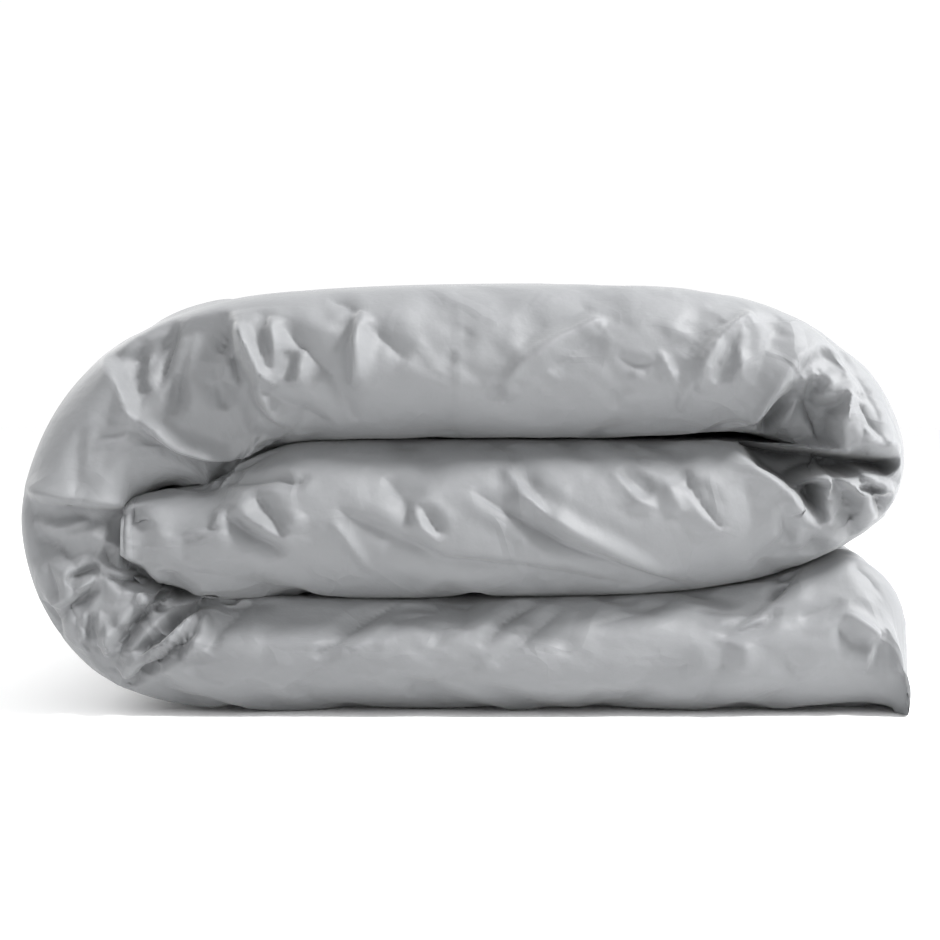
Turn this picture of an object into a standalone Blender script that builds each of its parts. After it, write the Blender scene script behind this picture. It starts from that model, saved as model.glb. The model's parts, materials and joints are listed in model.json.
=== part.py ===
"""A covered duvet, folded in three along its length and then wrapped in three into a bundle.

Metres, +Z up, -Y the front. The origin is on the ground, at the middle of the bundle.

The duvet makes one strip. Its outer face runs from the free end, at the right, along the ground to
the left, round the outer turn, along the top to the right, round the inner turn and back to the left,
between the other two layers. Across the strip the duvet is folded in three, like a letter, so that
every section through it is the same fold line with another thickness. The cover is a thin shell round
the insert. Both are cut at the outer turn's four hinge lines, where the bundle is opened.
"""

import math

import bmesh
import bpy
from mathutils import Vector

# Overall sizes
BUNDLE_WIDTH = 0.73
BUNDLE_DEPTH = 0.70
BOTTOM_THICKNESS = 0.092
MIDDLE_THICKNESS = 0.130
TOP_THICKNESS = 0.129
LAYER_GAP = 0.002

# The two turns: how far each reaches along X past its straight stretch, and the strip's thickness there
OUTER_TURN_REACH = 0.245
OUTER_TURN_THICKNESS = 0.082
INNER_TURN_REACH = 0.180
INNER_TURN_THICKNESS = 0.078
HINGES = 4
CUT_GAP = 0.0008

# The strip's free end, which puffs up beside the inner turn and closes in a sewn edge
FREE_END_PUFF = 0.124
FREE_END_TAPER = 0.075
FREE_END_THICKNESS = 0.034
INNER_END_ROOM = 0.042
INNER_END_TAPER = 0.045
INNER_END_THICKNESS = 0.046

# The fold in three across the strip
PLY_GAP = 0.0012
SIDE_EDGE_TAPER = 0.030
SIDE_EDGE_SHARE = 0.35
UPPER_EDGE_SETBACK = 0.028
TUCKED_EDGE_ROOM = 0.012

# Cover, insert and what is sewn to them
COVER_WALL = 0.0012
INSERT_CLEARANCE = 0.0006
END_ROOM = 0.032
PLACKET_LENGTH = 0.024
PLACKET_THICKNESS = 0.0024
PLACKET_GAP = 0.0004
BUTTON_DIAMETER = 0.015
BUTTON_THICKNESS = 0.003
BUTTON_GAP = 0.0004
BUTTON_SPACING = 0.21
LABEL_SIZE = (0.030, 0.022, 0.0010)
LOOP_RADIUS = 0.0045
LOOP_WIRE = 0.0009
LOOP_GAP = 0.0004
LOOP_FROM_EDGE = 0.045

# Facets
FRONT_FOLD_STEPS = 6
BACK_FOLD_STEPS = 4
BUTTON_STEPS = 16
LOOP_STEPS = 12
LOOP_WIRE_STEPS = 6

HEIGHT = BOTTOM_THICKNESS + MIDDLE_THICKNESS + TOP_THICKNESS + 2 * LAYER_GAP
MIDDLE_Z = BOTTOM_THICKNESS + LAYER_GAP
RIGHT = BUNDLE_WIDTH / 2
OUTER_TURN_X = OUTER_TURN_REACH - RIGHT
INNER_TURN_X = RIGHT - INNER_TURN_REACH
OUTER_TURN_RISE = HEIGHT / 2
INNER_TURN_RISE = (HEIGHT - MIDDLE_Z) / 2
INNER_END_X = OUTER_TURN_THICKNESS + INNER_END_ROOM - RIGHT
FRONT_Y = -BUNDLE_DEPTH / 2
BACK_Y = BUNDLE_DEPTH / 2

COVER_GREY = (0.36, 0.37, 0.38)
INSERT_WHITE = (0.86, 0.86, 0.84)
TAPE_WHITE = (0.80, 0.80, 0.78)
BUTTON_GREY = (0.48, 0.49, 0.50)


def smooth(t):
    """Eases from 0 to 1 as t does."""
    t = min(1.0, max(0.0, t))
    return t * t * (3 - 2 * t)


def mix(a, b, t):
    return a + (b - a) * t


def rounded(t):
    """Rises from 0 to 1 as a quarter of a circle does."""
    t = min(1.0, max(0.0, t))
    return math.sqrt(1 - (1 - t) ** 2)


def steps(start, end, count):
    """count + 1 evenly spaced values from start to end."""
    return [mix(start, end, i / count) for i in range(count + 1)]


# ---- The strip's path: places along its outer face --------------------------------------------


class Station:
    """A place along the strip: a point of its outer face, the way inward, and the thickness there."""

    def __init__(self, x, z, inward, thickness):
        self.x = x
        self.z = z
        self.inward = inward
        self.thickness = thickness

    def inside(self):
        """The point of the strip's inner face, as (x, z)."""
        return (
            self.x + self.inward[0] * self.thickness,
            self.z + self.inward[1] * self.thickness,
        )

    def moved(self, distance):
        """This place moved along the strip, away from its free end."""
        ahead = (-self.inward[1], self.inward[0])
        return Station(
            self.x + ahead[0] * distance,
            self.z + ahead[1] * distance,
            self.inward,
            self.thickness,
        )


def turn_underside(x):
    """The height of the upper pair's lowest face over x."""
    if x <= INNER_TURN_X:
        return MIDDLE_Z
    share = min(1.0, (x - INNER_TURN_X) / INNER_TURN_REACH)
    return MIDDLE_Z + INNER_TURN_RISE * (1 - math.sqrt(1 - share * share))


def bottom_station(x):
    """The bottom layer, flat on the ground. It fills the room under the inner turn."""
    from_end = RIGHT - x
    room = min(FREE_END_PUFF, turn_underside(x) - LAYER_GAP)
    thickness = mix(FREE_END_THICKNESS, room, rounded(from_end / FREE_END_TAPER))
    return Station(x, 0.0, (0.0, 1.0), min(room, thickness))


def turn_station(centre_x, centre_z, reach, rise, angle, side, thickness):
    """A place on a turn, a half ellipse that starts level. side is -1 for the left turn, 1 for the right."""
    along_x = side * reach * math.cos(angle)
    along_z = -side * rise * math.sin(angle)
    length = math.hypot(along_x, along_z)
    return Station(
        centre_x + side * reach * math.sin(angle),
        centre_z + side * rise * math.cos(angle),
        (along_z / length, -along_x / length),
        thickness,
    )


def outer_turn_station(angle):
    """The outer turn, from the bottom layer at angle 0 to the top layer at angle pi."""
    if angle < math.pi / 2:
        share = smooth(angle / math.radians(45))
        thickness = mix(BOTTOM_THICKNESS, OUTER_TURN_THICKNESS, share)
    else:
        share = smooth((angle - math.radians(105)) / math.radians(75))
        thickness = mix(OUTER_TURN_THICKNESS, TOP_THICKNESS, share)
    return turn_station(
        OUTER_TURN_X, HEIGHT / 2, OUTER_TURN_REACH, OUTER_TURN_RISE, angle, -1, thickness
    )


def top_station(x):
    return Station(x, HEIGHT, (0.0, -1.0), TOP_THICKNESS)


def inner_turn_station(angle):
    """The inner turn, from the top layer at angle 0 to the middle layer at angle pi."""
    ease = math.radians(65)
    if angle < math.pi / 2:
        thickness = mix(TOP_THICKNESS, INNER_TURN_THICKNESS, smooth(angle / ease))
    else:
        share = smooth((math.pi - angle) / ease)
        thickness = mix(MIDDLE_THICKNESS, INNER_TURN_THICKNESS, share)
    centre_z = (HEIGHT + MIDDLE_Z) / 2
    return turn_station(
        INNER_TURN_X, centre_z, INNER_TURN_REACH, INNER_TURN_RISE, angle, 1, thickness
    )


def height_at(x, points):
    """The height over x of the line through points, which are ordered along X."""
    points = sorted(points)
    for (x0, z0), (x1, z1) in zip(points, points[1:]):
        if x0 <= x <= x1:
            return mix(z0, z1, (x - x0) / max(x1 - x0, 1e-9))
    return points[0][1] if x < points[0][0] else points[-1][1]


HINGE_TURNS = [math.pi * (i + 0.5) / HINGES for i in range(HINGES)]
HINGE_ANGLES = [
    math.atan2(OUTER_TURN_REACH * math.sin(turn), OUTER_TURN_RISE * math.cos(turn))
    for turn in HINGE_TURNS
]
TURN_STEPS = 4
LOWER_LIP = [
    outer_turn_station(angle).inside()
    for angle in steps(0, HINGE_ANGLES[0], TURN_STEPS)
    + steps(HINGE_ANGLES[0], HINGE_ANGLES[1], TURN_STEPS)
]
UPPER_LIP = [
    outer_turn_station(angle).inside()
    for angle in steps(HINGE_ANGLES[2], HINGE_ANGLES[3], TURN_STEPS)
    + steps(HINGE_ANGLES[3], math.pi, TURN_STEPS)
]


def middle_station(x):
    """The middle layer. Its inner end narrows to stay clear of the outer turn's two lips."""
    low, high = MIDDLE_Z, MIDDLE_Z + MIDDLE_THICKNESS
    if x < OUTER_TURN_X + LAYER_GAP:
        low = max(low, height_at(x, LOWER_LIP) + 2 * LAYER_GAP)
        high = min(high, height_at(x, UPPER_LIP) - 2 * LAYER_GAP)
    room = high - low
    from_end = (x - INNER_END_X) / INNER_END_TAPER
    thickness = mix(min(INNER_END_THICKNESS, room), room, rounded(from_end))
    return Station(x, mix(low, high, 0.5) - thickness / 2, (0.0, 1.0), thickness)


# ---- The fold across the strip -----------------------------------------------------------------


def ply_of(thickness):
    """The thickness of one of the three plies of a strip this thick."""
    return (thickness - 2 * PLY_GAP) / 3


def fold_line(thickness, side_inset):
    """The middle line of the folded duvet across the strip, as (y, inward, normal, edge share).

    It starts at the tucked side edge, inside, runs to the back fold, along the outer ply to the front
    fold, and over to the upper side edge. side_inset draws both side edges in.
    """
    ply = ply_of(thickness)
    front_radius = (thickness - ply) / 2
    back_radius = (ply + PLY_GAP) / 2
    tucked = FRONT_Y + ply + TUCKED_EDGE_ROOM + side_inset
    upper = BACK_Y - UPPER_EDGE_SETBACK - side_inset
    back = BACK_Y - back_radius - ply / 2
    front = FRONT_Y + thickness / 2
    middle_height = ply * 1.5 + PLY_GAP
    upper_height = thickness - ply / 2

    def taper(edge, direction, height, normal):
        shares = ((0.0, SIDE_EDGE_SHARE), (0.35, 0.82), (1.0, 1.0))
        return [
            (edge + direction * SIDE_EDGE_TAPER * at, height, normal, share)
            for at, share in shares
        ]

    line = taper(tucked, 1, middle_height, (0, 1))
    for angle in steps(math.pi / 2, -math.pi / 2, BACK_FOLD_STEPS):
        normal = (math.cos(angle), math.sin(angle))
        height = middle_height - back_radius + back_radius * normal[1]
        line.append((back + back_radius * normal[0], height, normal, 1.0))
    for angle in steps(-math.pi / 2, -3 * math.pi / 2, FRONT_FOLD_STEPS):
        normal = (math.cos(angle), math.sin(angle))
        height = thickness / 2 + front_radius * normal[1]
        line.append((front + front_radius * normal[0], height, normal, 1.0))
    line += reversed(taper(upper, -1, upper_height, (0, 1)))
    return line


def fold_ring(station, half, side_inset=0.0):
    """Points round a body that follows the fold line, half its thickness each side of the line."""
    line = fold_line(station.thickness, side_inset)

    def point(y, height, normal, share, side):
        y += normal[0] * half * share * side
        height += normal[1] * half * share * side
        return Vector(
            (
                station.x + station.inward[0] * height,
                y,
                station.z + station.inward[1] * height,
            )
        )

    outward = [point(*place, 1) for place in line]
    return outward + [point(*place, -1) for place in reversed(line)]


def cover_ring(station):
    return fold_ring(station, ply_of(station.thickness) / 2)


def cavity_ring(station):
    half = ply_of(station.thickness) / 2 - COVER_WALL
    return fold_ring(station, half, COVER_WALL)


def insert_ring(station):
    inset = COVER_WALL + INSERT_CLEARANCE
    return fold_ring(station, ply_of(station.thickness) / 2 - inset, inset)


# ---- Making objects ----------------------------------------------------------------------------


def clear_scene():
    for obj in list(bpy.data.objects):
        bpy.data.objects.remove(obj, do_unlink=True)


def material(name, colour, roughness):
    made = bpy.data.materials.new(name)
    made.use_nodes = True
    shader = made.node_tree.nodes["Principled BSDF"]
    shader.inputs["Base Color"].default_value = (*colour, 1.0)
    shader.inputs["Roughness"].default_value = roughness
    shader.inputs["Metallic"].default_value = 0.0
    return made


class Bundle:
    """The collection, the materials and the empties that the pieces go under."""

    def __init__(self):
        self.collection = bpy.data.collections.new("folded_duvet")
        bpy.context.scene.collection.children.link(self.collection)
        self.materials = {
            "cover_fabric": material("cover_fabric", COVER_GREY, 0.75),
            "insert_fabric": material("insert_fabric", INSERT_WHITE, 0.85),
            "tape": material("tape", TAPE_WHITE, 0.80),
            "button": material("button", BUTTON_GREY, 0.35),
        }
        self.empties = {}

    def add_body(self, name, location, parent=None):
        """An empty on a hinge's axis, which the pieces of one rigid body go under."""
        empty = bpy.data.objects.new(name, None)
        self.collection.objects.link(empty)
        self.empties[name] = (empty, Vector(location))
        empty.location = location
        if parent:
            empty.parent = self.empties[parent][0]
            empty.location = Vector(location) - self.empties[parent][1]

    def add(self, obj, body, slot):
        """Puts a piece that was made in place under its body's empty."""
        for collection in list(obj.users_collection):
            collection.objects.unlink(obj)
        self.collection.objects.link(obj)
        empty, at = self.empties[body]
        obj.parent = empty
        obj.location = obj.location - at
        obj.data.materials.clear()
        obj.data.materials.append(self.materials[slot])


def mesh_object(name, bm):
    bmesh.ops.recalc_face_normals(bm, faces=bm.faces)
    mesh = bpy.data.meshes.new(name)
    bm.to_mesh(mesh)
    bm.free()
    mesh.shade_smooth()
    mesh.set_sharp_from_angle(angle=math.radians(40))
    return bpy.data.objects.new(name, mesh)


def add_rings(bm, rings):
    return [[bm.verts.new(point) for point in ring] for ring in rings]


def bridge(bm, first, second):
    """A band of four-sided faces between two rings of the same length."""
    count = len(first)
    for i in range(count):
        j = (i + 1) % count
        bm.faces.new((first[i], first[j], second[j], second[i]))


def solid_loft(name, rings):
    """A closed body through the rings, with a flat face at each end."""
    bm = bmesh.new()
    made = add_rings(bm, rings)
    for first, second in zip(made, made[1:]):
        bridge(bm, first, second)
    bm.faces.new(made[0])
    bm.faces.new(made[-1])
    return mesh_object(name, bm)


def shell_loft(name, outer, inner, closed_start=False, closed_end=False):
    """A sleeve between outer and inner rings. A closed end gets a wall in place of an opening."""
    bm = bmesh.new()
    skins = [add_rings(bm, outer), add_rings(bm, inner)]
    for skin in skins:
        for first, second in zip(skin, skin[1:]):
            bridge(bm, first, second)
    for closed, at in ((closed_start, 0), (closed_end, -1)):
        if closed:
            bm.faces.new(skins[0][at])
            bm.faces.new(skins[1][at])
        else:
            bridge(bm, skins[0][at], skins[1][at])
    return mesh_object(name, bm)


# ---- The strip's pieces ------------------------------------------------------------------------


def taper_places(length):
    """Distances from a sewn end over a taper, closest together at the end. One is the insert's."""
    return [0.0, 0.12 * length, 0.35 * length, END_ROOM, length]


def bottom_stations(start_x):
    """From the free end to the outer turn, closer together where the end tapers and puffs up."""
    taper = [RIGHT - at for at in taper_places(FREE_END_TAPER)]
    under_turn = steps(RIGHT - FREE_END_TAPER, INNER_TURN_X, 3)[1:]
    places = [x for x in taper + under_turn + [OUTER_TURN_X] if x < start_x - 1e-6]
    return [bottom_station(x) for x in [start_x] + places]


def middle_stations(end_x):
    """From the inner turn to the inner end."""
    straight = [INNER_TURN_X, OUTER_TURN_X + LAYER_GAP]
    narrowing = steps(OUTER_TURN_X, INNER_END_X + INNER_END_TAPER, 2)
    taper = [INNER_END_X + at for at in reversed(taper_places(INNER_END_TAPER)[:-1])]
    places = [x for x in straight + narrowing + taper if x > end_x + 1e-6]
    return [middle_station(x) for x in places + [end_x]]


def outer_turn_stations(start, end):
    return [outer_turn_station(angle) for angle in steps(start, end, TURN_STEPS)]


def inner_turn_stations(start, end, count):
    return [inner_turn_station(angle) for angle in steps(start, end, count)]


def trimmed(stations, at_start, at_end):
    """The stations with half a cut's gap taken off the ends that face a neighbour."""
    made = list(stations)
    if at_start:
        made[0] = made[0].moved(CUT_GAP / 2)
    if at_end:
        made[-1] = made[-1].moved(-CUT_GAP / 2)
    return made


def split_at(stations, x):
    """The stations on each side of x, both lists with a station at x. They lie along X."""
    descending = stations[0].x > stations[-1].x
    before = [s for s in stations if (s.x > x if descending else s.x < x)]
    after = [s for s in stations if (s.x < x if descending else s.x > x)]
    return before, after


def cover_sections():
    """(name, body, stations, which end is closed) for each stretch of the cover."""
    first, second, third, last = HINGE_ANGLES
    right_angle = math.pi / 2
    bottom = bottom_stations(RIGHT) + outer_turn_stations(0, first)[1:]
    top = outer_turn_stations(last, math.pi) + [top_station(INNER_TURN_X)]
    return [
        ("cover_bottom", "bottom_layer", bottom, "start"),
        ("cover_outer_turn_lower", "outer_turn_1", outer_turn_stations(first, second), None),
        ("cover_outer_turn_side", "outer_turn_2", outer_turn_stations(second, third), None),
        ("cover_outer_turn_upper", "outer_turn_3", outer_turn_stations(third, last), None),
        ("cover_top", "wrapped_layers", top, None),
        ("cover_inner_turn_upper", "wrapped_layers", inner_turn_stations(0, right_angle, 4), None),
        (
            "cover_inner_turn_lower",
            "wrapped_layers",
            inner_turn_stations(right_angle, math.pi, 4),
            None,
        ),
        ("cover_middle", "wrapped_layers", middle_stations(INNER_END_X), "end"),
    ]


def insert_sections():
    """(body, stations) for each row of the insert's filled chambers, from the free end on."""
    first, second, third, last = HINGE_ANGLES
    right_angle = math.pi / 2
    bottom = bottom_stations(RIGHT - END_ROOM)
    bottom_row_x = mix(INNER_TURN_X, OUTER_TURN_X, 0.35)
    bottom_1, bottom_2 = split_at(bottom, bottom_row_x)
    bottom_cut = [bottom_station(bottom_row_x)]
    top = outer_turn_stations(last, math.pi) + [top_station(INNER_TURN_X)]
    top_row_x = mix(OUTER_TURN_X, INNER_TURN_X, 0.5)
    top_1, top_2 = split_at(top, top_row_x)
    top_cut = [top_station(top_row_x)]
    middle = middle_stations(INNER_END_X + END_ROOM)
    middle_row_x = mix(INNER_TURN_X, OUTER_TURN_X, 0.55)
    middle_1, middle_2 = split_at(middle, middle_row_x)
    middle_cut = [middle_station(middle_row_x)]
    return [
        ("bottom_layer", bottom_1 + bottom_cut),
        ("bottom_layer", bottom_cut + bottom_2 + outer_turn_stations(0, first)[1:]),
        ("outer_turn_1", outer_turn_stations(first, second)),
        ("outer_turn_2", outer_turn_stations(second, third)),
        ("outer_turn_3", outer_turn_stations(third, last)),
        ("wrapped_layers", top_1 + top_cut),
        ("wrapped_layers", top_cut + top_2),
        ("wrapped_layers", inner_turn_stations(0, right_angle, 4)),
        ("wrapped_layers", inner_turn_stations(right_angle, math.pi, 4)),
        ("wrapped_layers", middle_1 + middle_cut),
        ("wrapped_layers", middle_cut + middle_2),
    ]


def add_cover(bundle):
    for name, body, stations, closed in cover_sections():
        outer = trimmed(stations, closed != "start", closed != "end")
        inner = list(outer)
        if closed == "start":
            inner[0] = bottom_station(RIGHT - COVER_WALL)
        if closed == "end":
            inner[-1] = middle_station(INNER_END_X + COVER_WALL)
        obj = shell_loft(
            name,
            [cover_ring(station) for station in outer],
            [cavity_ring(station) for station in inner],
            closed_start=closed == "start",
            closed_end=closed == "end",
        )
        bundle.add(obj, body, "cover_fabric")


def add_insert(bundle):
    rows = insert_sections()
    for number, (body, stations) in enumerate(rows, 1):
        stations = trimmed(stations, number > 1, number < len(rows))
        obj = solid_loft(f"insert_row_{number:02d}", [insert_ring(s) for s in stations])
        bundle.add(obj, body, "insert_fabric")


# ---- What is sewn to the strip -----------------------------------------------------------------


def ply_height(station, ply_number):
    """The height of the middle of a ply: 0 the outer one, 1 the tucked one, 2 the upper one."""
    ply = ply_of(station.thickness)
    return station.z + ply / 2 + ply_number * (ply + PLY_GAP)


def add_placket(bundle):
    """The cover's button band, a narrow strip beyond its inner end that follows the same fold."""
    end = middle_station(INNER_END_X)
    rings = [
        fold_ring(
            Station(INNER_END_X - distance, end.z, end.inward, end.thickness),
            PLACKET_THICKNESS / 2,
            COVER_WALL,
        )
        for distance in (PLACKET_GAP, PLACKET_GAP + PLACKET_LENGTH)
    ]
    bundle.add(solid_loft("placket", rings), "wrapped_layers", "cover_fabric")


def button_mesh():
    """A round button with a raised rim, turned about Z, its flat back at z 0."""
    radius = BUTTON_DIAMETER / 2
    rim, dish = 0.72 * radius, 0.6 * BUTTON_THICKNESS
    profile = (
        (0.0, dish),
        (rim * 0.9, dish),
        (rim, BUTTON_THICKNESS),
        (radius * 0.93, BUTTON_THICKNESS),
        (radius, 0.6 * BUTTON_THICKNESS),
        (radius * 0.86, 0.0),
        (0.0, 0.0),
    )
    bm = bmesh.new()
    line = [bm.verts.new((r, 0, z)) for r, z in profile]
    edges = [bm.edges.new(pair) for pair in zip(line, line[1:])]
    bmesh.ops.spin(
        bm,
        geom=line + edges,
        cent=(0, 0, 0),
        axis=(0, 0, 1),
        angle=2 * math.pi,
        steps=BUTTON_STEPS,
        use_merge=True,
    )
    bmesh.ops.remove_doubles(bm, verts=bm.verts, dist=1e-6)
    bmesh.ops.recalc_face_normals(bm, faces=bm.faces)
    mesh = bpy.data.meshes.new("button")
    bm.to_mesh(mesh)
    bm.free()
    mesh.shade_smooth()
    mesh.set_sharp_from_angle(angle=math.radians(40))
    return mesh


def add_buttons(bundle):
    """Five buttons under the placket: three on its outer ply, one on each of the others."""
    end = middle_station(INNER_END_X)
    mesh = button_mesh()
    places = [(0, -BUTTON_SPACING), (0, 0.0), (0, BUTTON_SPACING), (1, 0.0), (2, 0.0)]
    x = INNER_END_X - PLACKET_GAP - PLACKET_LENGTH / 2
    for number, (ply_number, y) in enumerate(places, 1):
        obj = bpy.data.objects.new(f"button_{number}", mesh)
        below = PLACKET_THICKNESS / 2 + BUTTON_GAP
        obj.location = (x, y, ply_height(end, ply_number) - below)
        obj.rotation_euler = (math.pi, 0, 0)
        bundle.add(obj, "wrapped_layers", "button")


def add_label(bundle):
    """A blank care label, sewn into the upper side edge at the back."""
    length, width, thickness = LABEL_SIZE
    x = mix(INNER_TURN_X, OUTER_TURN_X, 0.25)
    station = bottom_station(x)
    bpy.ops.mesh.primitive_cube_add(size=1)
    obj = bpy.context.object
    obj.name = obj.data.name = "care_label"
    obj.data.transform(
        ((length, 0, 0, 0), (0, width, 0, 0), (0, 0, thickness, 0), (0, 0, 0, 1))
    )
    y = BACK_Y - UPPER_EDGE_SETBACK + CUT_GAP + width / 2
    obj.location = (x, y, ply_height(station, 2))
    bundle.add(obj, "bottom_layer", "tape")


def ring_object(name, location, rotation):
    """A small loop of tape, as a ring."""
    bpy.ops.mesh.primitive_torus_add(
        major_segments=LOOP_STEPS,
        minor_segments=LOOP_WIRE_STEPS,
        major_radius=LOOP_RADIUS,
        minor_radius=LOOP_WIRE,
    )
    obj = bpy.context.object
    obj.name = obj.data.name = name
    obj.data.shade_smooth()
    obj.location = location
    obj.rotation_euler = rotation
    return obj


def add_corner_ties(bundle):
    """At each corner of the duvet, a loop on the insert and a tie in the cover that passes through it."""
    reach = LOOP_RADIUS + LOOP_WIRE + LOOP_GAP
    ends = (
        ("foot", "bottom_layer", RIGHT - END_ROOM, 1, bottom_station),
        ("head", "wrapped_layers", INNER_END_X + END_ROOM, -1, middle_station),
    )
    for end, body, insert_end, outwards, station_at in ends:
        loop_x = insert_end + outwards * reach
        tie_x = loop_x + outwards * (LOOP_RADIUS + LOOP_WIRE)
        for number, ply_number in enumerate((1, 2), 1):
            tucked = ply_number == 1
            y = FRONT_Y + LOOP_FROM_EDGE + SIDE_EDGE_TAPER
            if not tucked:
                y = BACK_Y - UPPER_EDGE_SETBACK - LOOP_FROM_EDGE
            z = ply_height(station_at(tie_x), ply_number)
            loop = ring_object(f"{end}_loop_{number}", (loop_x, y, z), (0, 0, 0))
            tie = ring_object(f"{end}_tie_{number}", (tie_x, y, z), (math.pi / 2, 0, 0))
            bundle.add(loop, body, "tape")
            bundle.add(tie, body, "tape")


def add_bodies(bundle):
    """The empties: the bottom layer, three stretches of the outer turn, and the wrapped layers."""
    bundle.add_body("bottom_layer", (0, 0, 0))
    parent = "bottom_layer"
    for number, angle in enumerate(HINGE_ANGLES, 1):
        station = outer_turn_station(angle)
        name = f"outer_turn_{number}" if number < HINGES else "wrapped_layers"
        bundle.add_body(name, (station.x, 0, station.z), parent)
        parent = name


def main():
    clear_scene()
    bundle = Bundle()
    add_bodies(bundle)
    add_cover(bundle)
    add_insert(bundle)
    add_placket(bundle)
    add_buttons(bundle)
    add_label(bundle)
    add_corner_ties(bundle)


main()
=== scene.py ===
"""The looks of a covered duvet that is folded in three and wrapped in three."""

import functools
import json
import math

import bmesh
import bpy
import numpy as np
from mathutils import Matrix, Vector


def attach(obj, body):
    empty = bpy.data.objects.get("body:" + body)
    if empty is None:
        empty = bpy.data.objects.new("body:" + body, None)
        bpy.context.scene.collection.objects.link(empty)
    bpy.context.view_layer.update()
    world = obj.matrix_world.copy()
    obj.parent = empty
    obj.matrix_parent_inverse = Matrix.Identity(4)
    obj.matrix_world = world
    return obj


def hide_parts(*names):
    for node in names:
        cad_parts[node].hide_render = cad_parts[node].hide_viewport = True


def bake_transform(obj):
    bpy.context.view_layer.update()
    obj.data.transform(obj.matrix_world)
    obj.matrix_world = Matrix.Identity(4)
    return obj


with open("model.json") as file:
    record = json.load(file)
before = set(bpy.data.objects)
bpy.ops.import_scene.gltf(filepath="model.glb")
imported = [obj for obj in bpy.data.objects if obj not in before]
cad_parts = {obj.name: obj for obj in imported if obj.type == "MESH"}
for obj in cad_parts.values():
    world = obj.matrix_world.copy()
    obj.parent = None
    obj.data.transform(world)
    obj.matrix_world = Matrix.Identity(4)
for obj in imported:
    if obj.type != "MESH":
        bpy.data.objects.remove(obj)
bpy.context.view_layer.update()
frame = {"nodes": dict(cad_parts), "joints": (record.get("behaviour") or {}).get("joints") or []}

# The strip's outer face seen from the front, from its free end to its inner end: x, z and thickness
STRIP_LINE = (
    (0.3640, 0.000, 0.026), (0.3610, 0.000, 0.052), (0.3560, 0.000, 0.078), (0.3480, 0.000, 0.102),
    (0.3350, 0.000, 0.122), (0.3180, 0.000, 0.130), (0.2900, 0.000, 0.121), (0.2500, 0.000, 0.108),
    (0.1900, 0.000, 0.099), (0.1000, 0.000, 0.0945), (0.0000, 0.000, 0.0915),
    (-0.1000, 0.000, 0.0925), (-0.1750, 0.0020, 0.0920), (-0.2390, 0.0100, 0.0870),
    (-0.2715, 0.0185, 0.0850), (-0.3210, 0.0500, 0.0820), (-0.3465, 0.0845, 0.0810),
    (-0.3620, 0.1245, 0.0835), (-0.3665, 0.1640, 0.0860), (-0.3585, 0.2020, 0.0920),
    (-0.3415, 0.2420, 0.1120), (-0.3215, 0.2700, 0.1300), (-0.2920, 0.2960, 0.1380),
    (-0.2555, 0.3155, 0.1360), (-0.2150, 0.3300, 0.1280), (-0.1700, 0.3390, 0.1200),
    (-0.1100, 0.3440, 0.1190), (-0.0300, 0.3470, 0.1200), (0.0600, 0.3480, 0.1210),
    (0.1200, 0.3475, 0.1200), (0.1850, 0.3440, 0.1150), (0.2340, 0.3355, 0.1070),
    (0.2775, 0.3195, 0.0970), (0.3110, 0.2995, 0.0900), (0.3375, 0.2750, 0.0840),
    (0.3565, 0.2425, 0.0800), (0.3650, 0.2060, 0.0790), (0.3565, 0.1700, 0.0820), (0.3370, 0.1480, 0.0880),
    (0.3000, 0.1290, 0.0980), (0.2550, 0.1155, 0.1110), (0.2000, 0.1050, 0.1200),
    (0.1450, 0.0990, 0.1255), (0.0700, 0.0965, 0.1285), (-0.0500, 0.0945, 0.1300),
    (-0.1180, 0.0950, 0.1290), (-0.1600, 0.0960, 0.1220), (-0.2050, 0.0985, 0.1000),
    (-0.2430, 0.1040, 0.0830), (-0.2680, 0.1120, 0.0680), (-0.2800, 0.1210, 0.0510),
)
# Over this length the inner end's thickness direction turns upright
END_TURN = 0.07
# The grid: stations along the strip, and steps across it on each stretch of the folded outline
STATIONS = 640
OUTER_STEPS = 99
FRONT_STEPS = 84
INNER_STEPS = 90
EDGE_STEPS = 6
HIDDEN_STEPS = 3
INSIDE_STEPS = 6
SLOT_STEPS = 3
BACK_STEPS = 30
OUTER, FRONT, INNER, EDGE, HIDDEN, BACK = range(6)

# The fold in three across the strip
FRONT_Y = -0.345
BACK_Y = 0.345
PLY_GAP = 0.002
UPPER_EDGE_SETBACK = 0.030
TUCKED_EDGE_ROOM = 0.012

# Folds pressed into the front: an overlap's crisp edge, the cover's room over the floor, the room
# that the plies under a hollow keep to it, and how often steep shapes are averaged
OVERLAP_EDGE = 0.0025
FLOOR_ROOM = 0.0004
HIDDEN_ROOM = 0.012
FOLD_SOFTENING = 1

# Soft creases scattered over the outer faces: how many, and the ranges of their length, width and depth
CREASE_SEED = 11
CREASES = 240
CREASE_LENGTH = (0.06, 0.24)
CREASE_WIDTH = (0.005, 0.014)
CREASE_DEPTH = (-0.0040, 0.0052)

# Pressed creases in the cover's material: cells per metre of cloth, half width and height
CREASE_LINES = ((7, 0.011, 0.0016), (17, 0.006, 0.0008))

# Sewn edges: the seam's ridge and its small puckers, in grid steps across and metres along
SEAM_RIDGE = 0.002
PUCKER_STEPS = 6
PUCKER_LENGTH = 0.016
PUCKER_HEIGHT = 0.0005
# The gathers at the free end: their spacing, their height and how far they reach up the cloth
GATHER_LENGTH = 0.036
GATHER_HEIGHT = 0.0042
GATHER_REACH = 0.050
FREE_END_LENGTH = 0.16

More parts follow.
